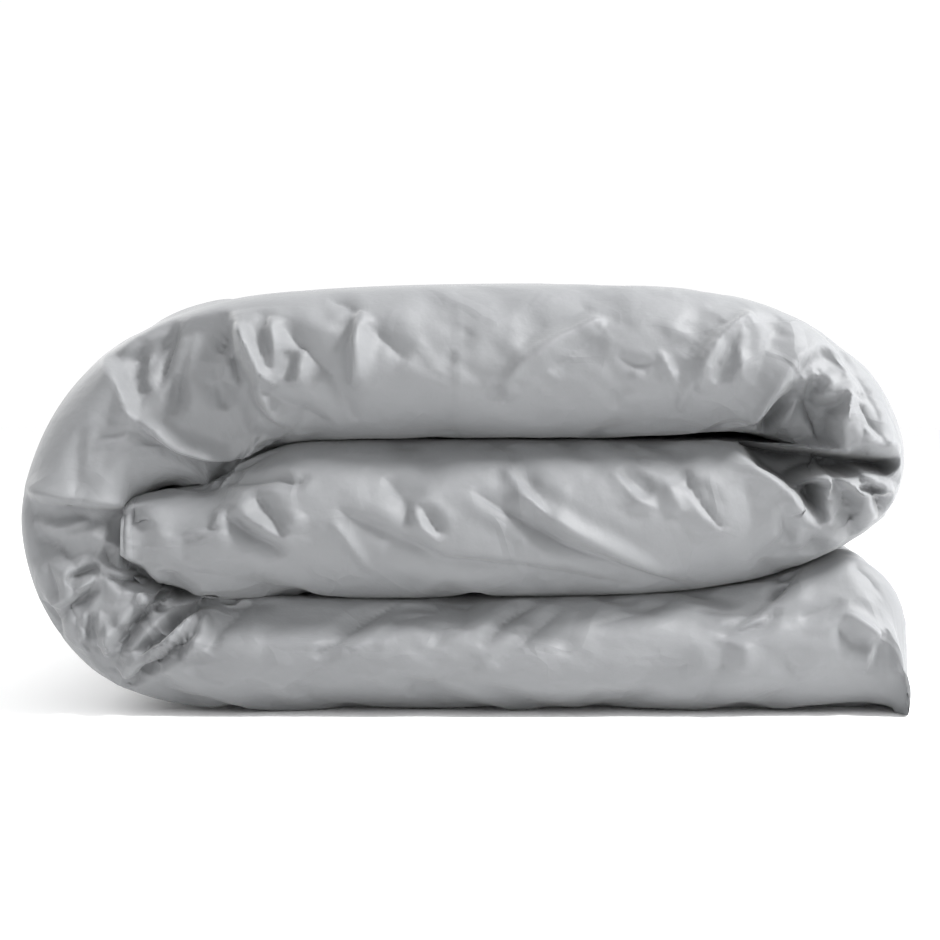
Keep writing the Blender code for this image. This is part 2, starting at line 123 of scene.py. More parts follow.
# The button band at the inner end, the buttons' places on it (face and y), and the care label
PLACKET_LENGTH = 0.012
PLACKET_PROUD = 0.0003
BUTTON_PLACES = ((OUTER, -0.21), (OUTER, 0.0), (OUTER, 0.21), (INNER, -0.105), (INNER, 0.105))
LABEL_X = 0.109
LABEL_WIDTH = 0.030
LABEL_LENGTH = 0.028
LABEL_THICKNESS = 0.0005

# Hinges: the CAD nodes each piece stands for
BOTTOM_NODES = ("cover_bottom", "insert_row_01", "insert_row_02")
TURN_NODES = (
    ("cover_outer_turn_lower", "insert_row_03"),
    ("cover_outer_turn_side", "insert_row_04"),
    ("cover_outer_turn_upper", "insert_row_05"),
    (),
)
WRAPPED_NODES = ("cover_top", "cover_inner_turn_upper", "cover_inner_turn_lower", "cover_middle")
WRAPPED_NODES += tuple(f"insert_row_{number:02d}" for number in range(6, 12))
INSIDE_NODES = (
    "foot_loop_1", "foot_loop_2", "foot_tie_1", "foot_tie_2",
    "head_loop_1", "head_loop_2", "head_tie_1", "head_tie_2",
)

# Colours, the darker and the lighter of each mixed pair
COVER_COLOUR = (0.196, 0.201, 0.208)
COVER_COLOUR_LIGHT = (0.214, 0.219, 0.226)
TAPE_COLOUR = (0.80, 0.80, 0.78)
TAPE_COLOUR_DARK = (0.74, 0.74, 0.72)
BUTTON_COLOUR = (0.48, 0.49, 0.50)
BUTTON_COLOUR_DARK = (0.44, 0.45, 0.46)
BUTTON_COLOUR_LIGHT = (0.52, 0.53, 0.54)

# A button's side from its middle underneath to its middle on top, as radius and height
BUTTON_PROFILE = (
    (0, 0), (0.0066, 0), (0.0075, 0.0009), (0.0074, 0.0024), (0.0066, 0.0030), (0.0056, 0.0026),
    (0.0048, 0.0019), (0, 0.0018),
)
BUTTON_SIDES = 48
KNOT_RADIUS = 0.0008
KNOT_OFFSET = 0.0013
KNOT_HEIGHT = 0.0018

# Camera: its lens and sensor in mm, and where it looks from
CAMERA_LENS = 90
CAMERA_SENSOR = 36
CAMERA_TARGET = (0.005, -0.33, 0.202)
CAMERA_TILT_DEG = 2.5
CAMERA_DISTANCE = 1.925

# Studio: the world's strength, and each light's name, place, target, size and power
WORLD_STRENGTH = 1.03
FLOOR_TONE = 0.96
LIGHTS = (
    ("key", (1.6, -0.8, 2.1), (0, 0, 0.15), 0.6, 98),
    ("side", (1.9, -0.25, 0.5), (0.2, 0, 0.12), 0.8, 13),
    ("floor_fill", (-1.6, 1.1, 1.3), (-0.55, 0.2, 0), 1.4, 22),
)

# The cloth: every SETTLE_EVERY-th line of the grid settles, and the others follow it
SETTLE_EVERY = 3
CLOTH_FRAMES = 14
CLOTH_PRESSURE = 2.5
CLOTH_SPARE = 0.035
CLOTH_BENDING = 0.6
# How firmly each zone is held while it settles, and how far it may move
HOLD = {OUTER: 0.3, FRONT: 0.0, INNER: 0.3, EDGE: 0.6, HIDDEN: 1.0, BACK: 0.0}
MOVE_LIMIT = {OUTER: 0.0025, FRONT: 0.007, INNER: 0.0025, EDGE: 0.002, HIDDEN: 0.0, BACK: 0.010}
# Outer faces that lie free, above this height and before the middle layer, have their own values
FREE_FACE_HOLD = 0.0
FREE_FACE_LIMIT = 0.009
FREE_FACE_Z = 0.02
MIDDLE_FROM = 1.95

# Folds in the front, each a depth (a ridge is negative), a half width and a line's x and z, in mm
UPPER_LEFT_FOLDS = (
    (11.7, 4, ((-192, 324), (-187, 298), (-184, 270))),
    (9.1, 4, ((-194, 322), (-200, 298))),
    (-11.7, 5, ((-187, 319), (-172, 298), (-167, 284), (-152, 271))),
    (7.8, 4, ((-238, 321), (-246, 293), (-251, 267))),
    (6.5, 7, ((-235, 279), (-238, 247))),
    (6.5, 6, ((-200, 273), (-196, 252))),
    (5.2, 5, ((-266, 311), (-271, 287))),
    (-5.2, 7, ((-220, 317), (-224, 284), (-220, 252))),
    (-5.2, 6, ((-258, 297), (-260, 268))),
    (-10.4, 6, ((-158, 327), (-154, 305), (-151, 276))),
    (-7.8, 5, ((-130, 301), (-134, 283), (-138, 270))),
    (-10.4, 6, ((-85, 332), (-88, 301), (-90, 271))),
    (9.1, 9, ((-149, 321), (-130, 303), (-108, 279), (-98, 259), (-89, 242))),
    (7.8, 8, ((-144, 299), (-142, 276))),
    (7.8, 9, ((-77, 321), (-60, 305), (-46, 291))),
    (5.2, 5, ((-110, 341), (-98, 339), (-87, 329))),
    (9.1, 11, ((-166, 271), (-144, 255), (-110, 239))),
    (3.9, 5, ((-166, 332), (-161, 317))),
    (-1.6, 3, ((-4, 342), (-4, 237))),
)
TOP_FOLDS = (
    (-9.1, 9, ((112, 326), (75, 311), (46, 294), (34, 278), (35, 261))),
    (6.5, 9, ((104, 335), (65, 319), (44, 302))),
    (6.5, 10, ((113, 317), (94, 303), (71, 281))),
    (5.2, 4, ((27, 272), (27, 257))),
    (-3.9, 3, ((159, 300), (167, 283), (176, 266))),
    (-3.9, 3, ((185, 277), (179, 264), (178, 249))),
    (-11.7, 8, ((235, 331), (207, 312), (194, 293), (190, 276), (192, 267))),
    (6.5, 8, ((212, 324), (194, 312), (181, 294))),
    (7.8, 8, ((233, 324), (216, 301), (203, 275))),
    (-5.2, 4, ((228, 319), (224, 302), (225, 276))),
    (3.9, 4, ((127, 294), (141, 287), (154, 289))),
    (-3.2, 3, ((141, 285), (141, 275))),
    (3.9, 4, ((122, 268), (124, 252))),
    (5.2, 9, ((260, 327), (245, 301), (237, 272))),
    (3.9, 11, ((5, 317), (-20, 284))),
)
RIGHT_TURN_FOLDS = (
    (18.2, 4, ((237, 229), (252, 242), (261, 257), (276, 275))),
    (15.6, 4, ((287, 279), (290, 265))),
    (-11.7, 4, ((291, 262), (314, 265), (311, 243))),
    (13, 6, ((281, 261), (286, 243), (294, 225))),
    (15.6, 4, ((314, 217), (327, 215), (356, 208))),
    (-10.4, 4, ((298, 199), (294, 178), (299, 158))),
    (-10.4, 4, ((302, 199), (324, 184), (345, 182))),
    (15.6, 6, ((286, 192), (289, 173), (294, 161))),
    (15.6, 6, ((311, 187), (314, 168), (322, 148))),
    (11.7, 4, ((330, 189), (342, 176), (347, 161))),
    (7.8, 5, ((319, 260), (332, 239), (342, 223))),
    (6.5, 7, ((307, 299), (327, 272), (340, 243))),
    (-6.5, 6, ((326, 235), (345, 225), (358, 219))),
    (6.5, 6, ((327, 202), (345, 196), (358, 192))),
    (5.2, 8, ((289, 301), (311, 283))),
)
MIDDLE_FOLDS = (
    (6.5, 4, ((-271, 171), (-269, 160), (-256, 161))),
    (-6.5, 4, ((-196, 170), (-203, 155))),
    (6.5, 7, ((-194, 165), (-171, 150), (-146, 135))),
    (9.1, 6, ((-175, 188), (-159, 168), (-146, 150))),
    (-5.2, 4, ((-184, 166), (-166, 158), (-149, 149))),
    (-5.2, 6, ((-142, 155), (-132, 168))),
    (-4.5, 4, ((-108, 162), (-95, 145), (-75, 119))),
    (7.8, 7, ((-64, 196), (-49, 179), (-44, 159))),
    (-6.5, 5, ((-42, 173), (-34, 156), (-19, 144))),
    (6.5, 5, ((-35, 174), (-19, 150))),
    (5.9, 9, ((-104, 172), (-63, 155), (-18, 132), (28, 126))),
    (7.8, 4, ((-197, 192), (-171, 194), (-153, 196), (-136, 192), (-127, 199))),
    (9.1, 6, ((7, 186), (46, 164), (79, 143), (117, 127), (153, 112), (189, 104))),
    (-7.8, 6, ((33, 202), (48, 180), (67, 164), (90, 149), (123, 133), (169, 113))),
    (6.5, 7, ((40, 203), (59, 184), (73, 162))),
    (6.5, 8, ((-7, 127), (46, 124), (90, 114), (146, 104))),
    (-5.2, 8, ((-28, 141), (21, 134), (79, 123))),
    (-5.2, 5, ((121, 201), (141, 178), (157, 171))),
    (5.2, 7, ((127, 203), (152, 182))),
    (-5.2, 6, ((163, 198), (176, 167))),
    (6.5, 6, ((179, 203), (192, 177), (210, 156))),
    (-6.5, 6, ((179, 189), (192, 168), (210, 150))),
    (7.8, 4, ((259, 175), (265, 142))),
    (6.5, 5, ((286, 148), (291, 132))),
    (-5.2, 6, ((270, 155), (276, 138))),
    (5.2, 11, ((227, 194), (237, 161), (233, 128))),
    (3.9, 13, ((-258, 128), (-217, 116), (-168, 110))),
)
LOWER_LEFT_FOLDS = (
    (15.6, 4, ((-323, 110), (-312, 117), (-298, 123))),
    (-6.5, 4, ((-319, 105), (-301, 114))),
    (10.4, 4, ((-334, 80), (-316, 93), (-301, 112))),
    (-9.1, 4, ((-291, 77), (-289, 62), (-290, 50))),
    (11.7, 4, ((-285, 54), (-270, 77), (-257, 93), (-246, 104))),
    (-7.8, 4, ((-256, 81), (-256, 91), (-247, 96), (-244, 104))),
    (9.1, 4, ((-252, 85), (-250, 92))),
    (20.8, 4, ((-268, 50), (-248, 64), (-233, 80), (-213, 93), (-203, 95))),
    (18.2, 4, ((-279, 23), (-255, 44), (-238, 56), (-222, 71), (-215, 85))),
    (-10.4, 5, ((-261, 43), (-240, 61), (-222, 79), (-214, 87))),
    (-9.1, 5, ((-228, 49), (-218, 67), (-212, 83))),
    (7.8, 9, ((-210, 54), (-200, 71), (-178, 90))),
    (6.5, 5, ((-122, 50), (-95, 69), (-72, 82), (-53, 92))),
    (-5.2, 8, ((-114, 39), (-84, 60), (-57, 77))),
    (4.5, 6, ((-57, 77), (-24, 86), (-5, 93))),
    (5.9, 12, ((-145, 21), (-102, 46), (-69, 62))),
    (5.2, 12, ((-46, 18), (-13, 33), (15, 45))),
    (-5.2, 5, ((-311, 85), (-311, 62))),
    (6.5, 4, ((-316, 86), (-316, 64))),
    (6.5, 4, ((-305, 85), (-306, 61))),
    (-5.2, 4, ((-298, 87), (-298, 58))),
    (5.2, 4, ((-342, 128), (-332, 104), (-327, 95))),
    (7.8, 4, ((-349, 95), (-335, 77), (-332, 62))),
    (-6.5, 7, ((-332, 145), (-307, 151), (-286, 138))),
    (7.8, 5, ((-352, 145), (-330, 138), (-317, 123))),
    (-6.5, 5, ((-353, 161), (-332, 156), (-306, 161))),
    (10.4, 5, ((-296, 138), (-289, 127), (-275, 118))),
    (-7.8, 6, ((-279, 104), (-266, 97), (-258, 85))),
    (7.8, 4, ((-291, 116), (-276, 110), (-261, 109))),
)
BOTTOM_FOLDS = (
    (6.5, 5, ((13, 58), (36, 79), (67, 95))),
    (5.2, 7, ((25, 44), (59, 71), (83, 89))),
    (5.2, 6, ((105, 75), (142, 85), (176, 95))),
    (13, 5, ((279, 118), (267, 109), (252, 93))),
    (9.1, 5, ((258, 85), (244, 77), (209, 66))),
    (5.2, 4, ((191, 87), (219, 86), (245, 85))),
    (5.2, 5, ((274, 81), (297, 89), (309, 96))),
    (-6.5, 5, ((311, 87), (325, 77), (341, 67))),
    (5.2, 6, ((304, 77), (317, 62), (335, 54))),
    (4.5, 8, ((216, 62), (211, 43), (196, 13))),
    (-4.5, 8, ((229, 62), (227, 38))),
    (4.5, 13, ((128, 21), (161, 39), (194, 46))),
    (5.2, 5, ((319, 123), (334, 112), (342, 99))),
    (6.5, 5, ((345, 71), (342, 46), (345, 21))),
    (-5.2, 6, ((332, 62), (327, 34))),
    (5.2, 9, ((260, 54), (276, 30))),
)
# Overlaps: height, width and line in mm. The cloth left of the line lies over the cloth right of it
OVERLAPS = (
    (14, 10, ((-265, 238), (-270, 255), (-281, 277), (-293, 293), (-301, 301))),
    (18, 15, (
        (-275, 248), (-249, 227), (-232, 216), (-215, 210), (-196, 208), (-176, 215), (-143, 232),
    )),
    (17, 10, ((-365, 186), (-347, 178), (-307, 173), (-275, 170))),
    (17, 11, (
        (-192, 332), (-187, 298), (-178, 288), (-173, 278), (-171, 265), (-167, 255), (-159, 245),
        (-141, 232),
    )),
    (14, 9, ((214, 232), (244, 243), (253, 261), (274, 288), (296, 302))),
    (11, 7, ((233, 234), (263, 262), (284, 279), (289, 263), (314, 265), (306, 247), (309, 215))),
    (11, 8, ((326, 133), (298, 157), (275, 176), (265, 193), (240, 205), (215, 225))),
    (12, 6, ((289, 153), (294, 178), (298, 199), (309, 191), (324, 184), (352, 182))),
    (8, 6, ((314, 212), (324, 197), (335, 191))),
    (12, 7, ((-291, 43), (-286, 62), (-270, 81), (-258, 93), (-242, 107))),
    (12, 6, ((-344, 97), (-332, 90), (-316, 95), (-298, 115))),
    (12, 8, ((-283, 18), (-255, 44), (-238, 56), (-222, 71), (-213, 90))),
    (8, 8, ((-307, 130), (-289, 118), (-266, 109), (-243, 104))),
    (8, 8, ((-85, 335), (-92, 305), (-92, 265))),
    (9, 9, ((237, 335), (207, 312), (194, 293), (190, 265))),
    (7, 9, ((112, 329), (75, 311), (46, 294), (34, 276), (35, 256))),
    (7, 8, ((33, 206), (48, 180), (67, 164), (90, 149), (123, 133), (178, 109))),
    (5, 8, ((-105, 173), (-63, 155), (-18, 132), (36, 124))),
    (9, 7, ((283, 122), (267, 109), (250, 90), (206, 65))),
    (5, 7, ((178, 206), (192, 177), (214, 151))),
    (6, 7, ((-196, 175), (-174, 155), (-141, 136))),
)
# Hollows: depth, softness of the sides and outline, in mm
HOLLOWS = (
    (78, 8, (
        (229, 226), (268, 219), (309, 215), (355, 208), (349, 199), (327, 202), (311, 197),
        (294, 199), (281, 196), (268, 188), (245, 204),
    )),
    (28, 9, (
        (243, 237), (263, 258), (283, 273), (291, 260), (306, 256), (302, 243), (306, 222),
        (268, 221), (245, 227),
    )),
    (36, 8, ((265, 189), (281, 194), (293, 192), (291, 166), (276, 178))),
    (20, 4, ((319, 189), (330, 191), (345, 186), (332, 182))),
    (40, 7, ((-281, 132), (-266, 123), (-250, 108), (-214, 94), (-237, 94), (-258, 104), (-276, 113))),
    (20, 22, (
        (-289, 296), (-238, 324), (-196, 329), (-186, 283), (-169, 243), (-155, 232), (-196, 212),
        (-246, 229), (-263, 243), (-278, 277),
    )),
    (16, 6, ((197, -2), (212, 4), (230, 11), (250, 4), (268, -2))),
    (12, 16, ((-358, 173), (-279, 168), (-283, 128), (-332, 120), (-353, 128))),
)


def natural_spline(knots, values, at):
    """The natural cubic spline through rows of values at knots, read at the places at."""
    count = len(knots)
    rows = np.reshape(values, (count, -1)).astype(float)
    gaps = np.diff(knots)
    matrix = np.eye(count)
    target = np.zeros(rows.shape)
    for i in range(1, count - 1):
        matrix[i, i - 1 : i + 2] = gaps[i - 1], 2 * (gaps[i - 1] + gaps[i]), gaps[i]
        target[i] = 6 * ((rows[i + 1] - rows[i]) / gaps[i] - (rows[i] - rows[i - 1]) / gaps[i - 1])
    bend = np.linalg.solve(matrix, target)
    i = np.clip(np.searchsorted(knots, at) - 1, 0, count - 2)
    before, after, gap = (at - knots[i])[:, None], (knots[i + 1] - at)[:, None], gaps[i][:, None]
    curved = (bend[i] * after**3 + bend[i + 1] * before**3) / (6 * gap)
    first = (rows[i] / gap - bend[i] * gap / 6) * after
    second = (rows[i + 1] / gap - bend[i + 1] * gap / 6) * before
    return (curved + first + second).reshape((len(at),) + np.shape(values)[1:])


def even_line(points, count):
    """A smooth line through the points, as count stations at even distances, and those distances."""
    points = np.array(points, float)
    knots = np.concatenate([[0], np.cumsum(np.hypot(*np.diff(points[:, :2], axis=0).T))])
    dense = np.linspace(0, knots[-1], 6000)
    line = natural_spline(knots, points, dense)
    along = np.concatenate([[0], np.cumsum(np.hypot(*np.diff(line[:, :2], axis=0).T))])
    places = np.linspace(0, along[-1], count)
    return np.stack([np.interp(places, along, column) for column in line.T], axis=1), places


def smooth(t):
    t = np.clip(t, 0, 1)
    return t * t * (3 - 2 * t)


# ---- The folded strip's form -------------------------------------------------------------------


def fold_outline(thickness, front, back):
    """Places round the folded strip at each station: their y, their distance inward, and their zones.

    The arrays thickness, front and back hold a value for each station.
    """
    whole, front, back = thickness[:, None], front[:, None], back[:, None]
    ply = (whole - 2 * PLY_GAP) / 3
    middle = front + whole / 2
    fold = back - ply - PLY_GAP / 2
    upper = back - UPPER_EDGE_SETBACK - ply / 2
    tucked = front + ply + TUCKED_EDGE_ROOM + ply / 2
    places, zones = [], []

    def straight(start, end, height, count, zone, crowd=1.0):
        t = np.arange(count) / count
        t = 0.5 - 0.5 * np.sign(0.5 - t) * np.abs(1 - 2 * t) ** crowd
        places.append((start + (end - start) * t, height + 0 * t * start))
        zones.extend([zone] * count)

    def arc(y, height, radius, first, last, count, zone):
        angle = np.radians(first + (last - first) * np.arange(count) / count)
        places.append((y + radius * np.cos(angle), height + radius * np.sin(angle)))
        zones.extend([zone] * count)

    half = ply / 2
    straight(fold, middle, 0 * ply, OUTER_STEPS, OUTER, 0.8)
    arc(middle, whole / 2, whole / 2, -90, -270, FRONT_STEPS, FRONT)
    straight(middle, upper, whole, INNER_STEPS, INNER, 0.8)
    arc(upper, whole - half, half, 90, -90, EDGE_STEPS, EDGE)
    straight(upper, middle, whole - ply, HIDDEN_STEPS, HIDDEN)
    arc(middle, whole / 2, whole / 2 - ply, 90, 270, INSIDE_STEPS, HIDDEN)
    straight(middle, fold, ply, HIDDEN_STEPS, HIDDEN)
    arc(fold, ply + PLY_GAP / 2, PLY_GAP / 2, -90, 90, SLOT_STEPS, HIDDEN)
    straight(fold, tucked, ply + PLY_GAP, HIDDEN_STEPS, HIDDEN)
    arc(tucked, ply + PLY_GAP + half, half, -90, -270, EDGE_STEPS, HIDDEN)
    straight(tucked, fold, 2 * ply + PLY_GAP, HIDDEN_STEPS, HIDDEN)
    arc(fold, ply + PLY_GAP / 2, ply + PLY_GAP / 2, 90, -90, BACK_STEPS, BACK)
    y = np.concatenate([part[0] for part in places], axis=1)
    height = np.concatenate([part[1] for part in places], axis=1)
    return y, height, np.array(zones)


class Strip:
    """The folded strip as a grid: stations along it, and places round it."""

    def __init__(self):
        self.line, self.along = even_line(STRIP_LINE, STATIONS)
        ahead = np.gradient(self.line[:, :2], axis=0)
        ahead /= np.linalg.norm(ahead, axis=1)[:, None]
        self.ahead = ahead
        inward = np.stack([ahead[:, 1], -ahead[:, 0]], axis=1)
        upright = smooth((self.along - self.along[-1] + END_TURN) / END_TURN)[:, None]
        inward = inward + upright * (np.array([0, 1]) - inward)
        self.inward = inward / np.linalg.norm(inward, axis=1)[:, None]
        thickness = self.line[:, 2]
        front = np.full(STATIONS, FRONT_Y)
        back = np.full(STATIONS, BACK_Y)
        y, height, self.zones = fold_outline(thickness, front, back)
        self.seam = np.nonzero(self.zones == EDGE)[0][EDGE_STEPS // 2]
        y[:, self.seam] += SEAM_RIDGE
        x = self.line[:, 0][:, None] + self.inward[:, 0][:, None] * height
        z = self.line[:, 1][:, None] + self.inward[:, 1][:, None] * height
        self.points = np.stack([x, y, z], axis=2)
        middle = self.points[STATIONS // 2]
        self.across = np.cumsum(np.linalg.norm(middle - np.roll(middle, 1, axis=0), axis=1))
        self.height = height
        self.share = height / thickness[:, None]

    def normals(self):
        return grid_normals(self.points)


def grid_normals(points):
    """Unit normals of a grid that closes on itself across the strip, pointing out of the strip."""
    across = np.roll(points, -1, axis=1) - np.roll(points, 1, axis=1)
    along = np.gradient(points, axis=0)
    normal = np.cross(across, along)
    return normal / np.maximum(np.linalg.norm(normal, axis=2), 1e-12)[:, :, None]


# ---- Folds in the cover, worked into the form --------------------------------------------------


def line_distance(x, z, line):
    """Distance from each place to a line seen from the front, how far along it, and on which side."""
    line = np.array(line, float) / 1000
    lengths = np.hypot(*np.diff(line, axis=0).T)
    best = np.full(x.shape, 1e9)
    share = np.zeros(x.shape)
    left = np.zeros(x.shape, bool)
    done = 0.0
    for (x0, z0), (x1, z1), length in zip(line, line[1:], lengths):
        t = np.clip(((x - x0) * (x1 - x0) + (z - z0) * (z1 - z0)) / length**2, 0, 1)
        distance = np.hypot(x - x0 - t * (x1 - x0), z - z0 - t * (z1 - z0))
        nearer = distance < best
        best = np.where(nearer, distance, best)
        share = np.where(nearer, (done + t * length) / lengths.sum(), share)
        left = np.where(nearer, (x1 - x0) * (z - z0) > (z1 - z0) * (x - x0), left)
        done += length
    return best, share, left


def fold_depth(x, z, folds):
    """How far the folds push each place in. A ridge pushes it out, and a valley has raised sides."""
    depth = np.zeros(x.shape)
    for deep, width, line in folds:
        distance, share, _ = line_distance(x, z, line)
        fade = np.clip(4 * share * (1 - share), 0, 1) ** 0.5
        q = distance / (width / 1000 * (0.45 + 0.55 * fade))
        core = np.exp(-(q**1.15)) if deep > 0 else np.exp(-(q**1.35))
        depth += deep / 1000 * fade * (core - 0.22 * np.exp(-(((q - 2.6) / 1.2) ** 2)))
    return depth


def overlap_depth(x, z, overlaps):
    """How far in each place lies where the cloth left of a line lies over the cloth right of it."""
    depth = np.zeros(x.shape)
    for height, width, line in overlaps:
        distance, share, left = line_distance(x, z, line)
        fade = np.clip(6 * share * (1 - share), 0, 1) ** 0.7
        side = np.where(left, -1, 0.9) * np.tanh(distance / OVERLAP_EDGE)
        spread_out = np.where(left, 1.3, 0.8) * width / 1000
        depth += height / 1000 * fade * side * np.exp(-(distance / spread_out))
    return depth


def hollow_depth(x, z, hollows, room=0.0):
    """How far in each place lies where it is inside the outline of a hollow, or this near to it."""
    depth = np.zeros(x.shape)
    for deep, softness, outline in hollows:
        distance, _, _ = line_distance(x, z, outline + outline[:1])
        corners = np.array(outline, float) / 1000
        inside = np.zeros(x.shape, bool)
        for (x0, z0), (x1, z1) in zip(corners, np.roll(corners, -1, axis=0)):
            crosses = (z0 > z) != (z1 > z)
            rise = z1 - z0 if z1 != z0 else 1e-9
            inside ^= crosses & (x < x0 + (z - z0) * (x1 - x0) / rise)
        signed = np.where(inside, distance, -distance) + room
        depth += deep / 1000 * smooth(0.35 + signed / (softness / 1000))
    return depth


def softened(depth):
    """The same values with each a little nearer to its neighbours', so that nothing steps or ripples."""
    for _ in range(FOLD_SOFTENING):
        depth = (np.roll(depth, 1, axis=1) + 2 * depth + np.roll(depth, -1, axis=1)) / 4
        padded = np.concatenate([depth[:1], depth, depth[-1:]])
        depth = (padded[:-2] + 2 * depth + padded[2:]) / 4
    return depth


def work_in_folds(strip):
    """Pushes the folds into the side of the strip that faces front."""
    points = strip.points
    x, y, z = np.moveaxis(points, 2, 0)
    reach = 1 - smooth((y - FRONT_Y - 0.055) / 0.06)
    folds = UPPER_LEFT_FOLDS + TOP_FOLDS + RIGHT_TURN_FOLDS + MIDDLE_FOLDS + LOWER_LEFT_FOLDS + BOTTOM_FOLDS
    depth = fold_depth(x, z, folds) + softened(overlap_depth(x, z, OVERLAPS))
    hidden = np.isin(strip.zones, (EDGE, HIDDEN, BACK))[None, :]
    back = np.array([0, -1, 0])
    normals = strip.normals()
    facing = -normals[:, :, 1]
    share = np.where(depth < 0, smooth(facing / 0.85), smooth((facing + 0.15) / 0.8))
    depth *= np.where(hidden, 1, share)
    hollow = hollow_depth(x, z, HOLLOWS)
    hollow = np.where(hidden, 1.25 * hollow_depth(x, z, HOLLOWS, HIDDEN_ROOM), softened(hollow)) * reach
    depth = np.where(hidden, np.maximum(depth, 0), depth) * reach
    way = np.where(hidden[:, :, None], back, 0.65 * normals + 0.35 * back)
    strip.points = points - way * depth[:, :, None] - back * hollow[:, :, None]


def scatter_creases(strip):
    """Soft creases here and there on the outer faces and the back, each a short line on the cloth."""
    chance = np.random.default_rng(CREASE_SEED)
    at_back = np.arange(len(strip.across)) >= len(strip.across) - BACK_STEPS
    across = strip.across - strip.across[-1] * at_back
    u, v = np.broadcast_arrays(strip.along[:, None], across[None, :])
    width = across[OUTER_STEPS]
    depth = np.zeros(u.shape)
    for _ in range(CREASES):
        start = chance.uniform((0.0, -0.08), (strip.along[-1] - 0.1, 2 * width))
        turn = chance.normal(0, 0.9)
        length = chance.uniform(*CREASE_LENGTH)
        wide = chance.uniform(*CREASE_WIDTH)
        deep = chance.uniform(*CREASE_DEPTH)
        ahead = (u - start[0]) * math.cos(turn) + (v - start[1]) * math.sin(turn)
        aside = (v - start[1]) * math.cos(turn) - (u - start[0]) * math.sin(turn)
        aside = aside - 0.6 * (ahead**2 - ahead * length)
        fade = np.clip(4 * ahead * (length - ahead) / length**2, 0, 1) ** 0.6
        depth += deep * fade * np.exp(-((np.abs(aside) / wide) ** 1.3))
    shown = np.isin(strip.zones, (OUTER, BACK))[None, :] & np.ones(depth.shape, bool)
    shown |= (strip.zones == INNER)[None, :] & (strip.along < FREE_END_LENGTH)[:, None]
    contact = (strip.line[:, 1] < FREE_FACE_Z) | (strip.along > MIDDLE_FROM)
    reach = np.where(shown, np.where(contact[:, None] & (strip.zones == OUTER)[None, :], 0.25, 1.0), 0)
    strip.points = strip.points - strip.normals() * (depth * reach)[:, :, None]


# ---- Cloth -------------------------------------------------------------------------------------


def by_zone(values, strip, free_face):
    """A value for each place on the strip by its zone, with another on outer faces that lie free."""
    table = np.array([values[zone] for zone in range(6)])[strip.zones]
    table = np.broadcast_to(table, strip.share.shape).copy()
    blend = smooth((strip.line[:, 1] - FREE_FACE_Z) / 0.05) * (1 - smooth((strip.along - MIDDLE_FROM) / 0.05))
    outer = (strip.zones == OUTER)[None, :] & np.ones(table.shape, bool)
    mixed = table + (free_face - table) * blend[:, None]
    return np.where(outer, mixed, table)


def settled(points, hold):
    """The grid's places after the cover has settled as cloth that is a little too large for them."""
    obj = grid_object(points, "settling")
    held = obj.vertex_groups.new(name="held")
    weights = np.round(hold.reshape(-1), 2)
    for level in np.unique(weights):
        held.add(np.nonzero(weights == level)[0].tolist(), float(level), "REPLACE")
    cloth = obj.modifiers.new("cloth", "CLOTH")
    cloth.point_cache.frame_end = CLOTH_FRAMES
    cloth.collision_settings.use_collision = False
    settings = cloth.settings
    settings.quality = 4
    settings.mass = 0.2
    settings.tension_stiffness = settings.compression_stiffness = 15
    settings.shear_stiffness = 5
    settings.bending_stiffness = CLOTH_BENDING
    settings.shrink_min = -CLOTH_SPARE
    settings.use_pressure = True
    settings.uniform_pressure_force = CLOTH_PRESSURE
    settings.vertex_group_mass = "held"
    settings.effector_weights.gravity = 0
    for number in range(1, CLOTH_FRAMES + 1):
        bpy.context.scene.frame_set(number)
    shaped = obj.evaluated_get(bpy.context.evaluated_depsgraph_get()).data
    places = np.empty(len(shaped.vertices) * 3, np.float32)
    shaped.vertices.foreach_get("co", places)
    bpy.context.scene.frame_set(1)
    bpy.data.objects.remove(obj, do_unlink=True)
    return places.reshape(points.shape).astype(float)


def spread(rows, fine, closed):
    """Values on every SETTLE_EVERY-th row, spread smoothly over fine rows."""
    rows_at = np.arange(0, fine, SETTLE_EVERY)
    if closed:
        rows = np.concatenate([rows[-4:], rows, rows[:4]])
        rows_at = SETTLE_EVERY * np.arange(-4, fine // SETTLE_EVERY + 4)
    return natural_spline(rows_at, rows, np.arange(fine))


def settle(strip):
    """Lets the cover settle as cloth, each place no farther from its own than its zone's limit."""
    some = (slice(None, None, SETTLE_EVERY), slice(None, None, SETTLE_EVERY))
    hold = by_zone(HOLD, strip, FREE_FACE_HOLD)
    limit = by_zone(MOVE_LIMIT, strip, FREE_FACE_LIMIT)[some]
    hold[:3] = hold[-3:] = 1
    move = settled(strip.points[some], hold[some]) - strip.points[some]
    far = np.maximum(np.linalg.norm(move, axis=2), 1e-9)
    near = np.maximum(limit, 1e-9)
    move *= (near * np.tanh(far / near) / far)[:, :, None]
    held_faces = np.isin(strip.zones, (OUTER, INNER))[some[1]]
    move = np.where(held_faces[None, :, None], softened(move), move)
    move = spread(move, STATIONS, False)
    move = spread(np.swapaxes(move, 0, 1), len(strip.zones), True)
    strip.points = strip.points + np.swapaxes(move, 0, 1)


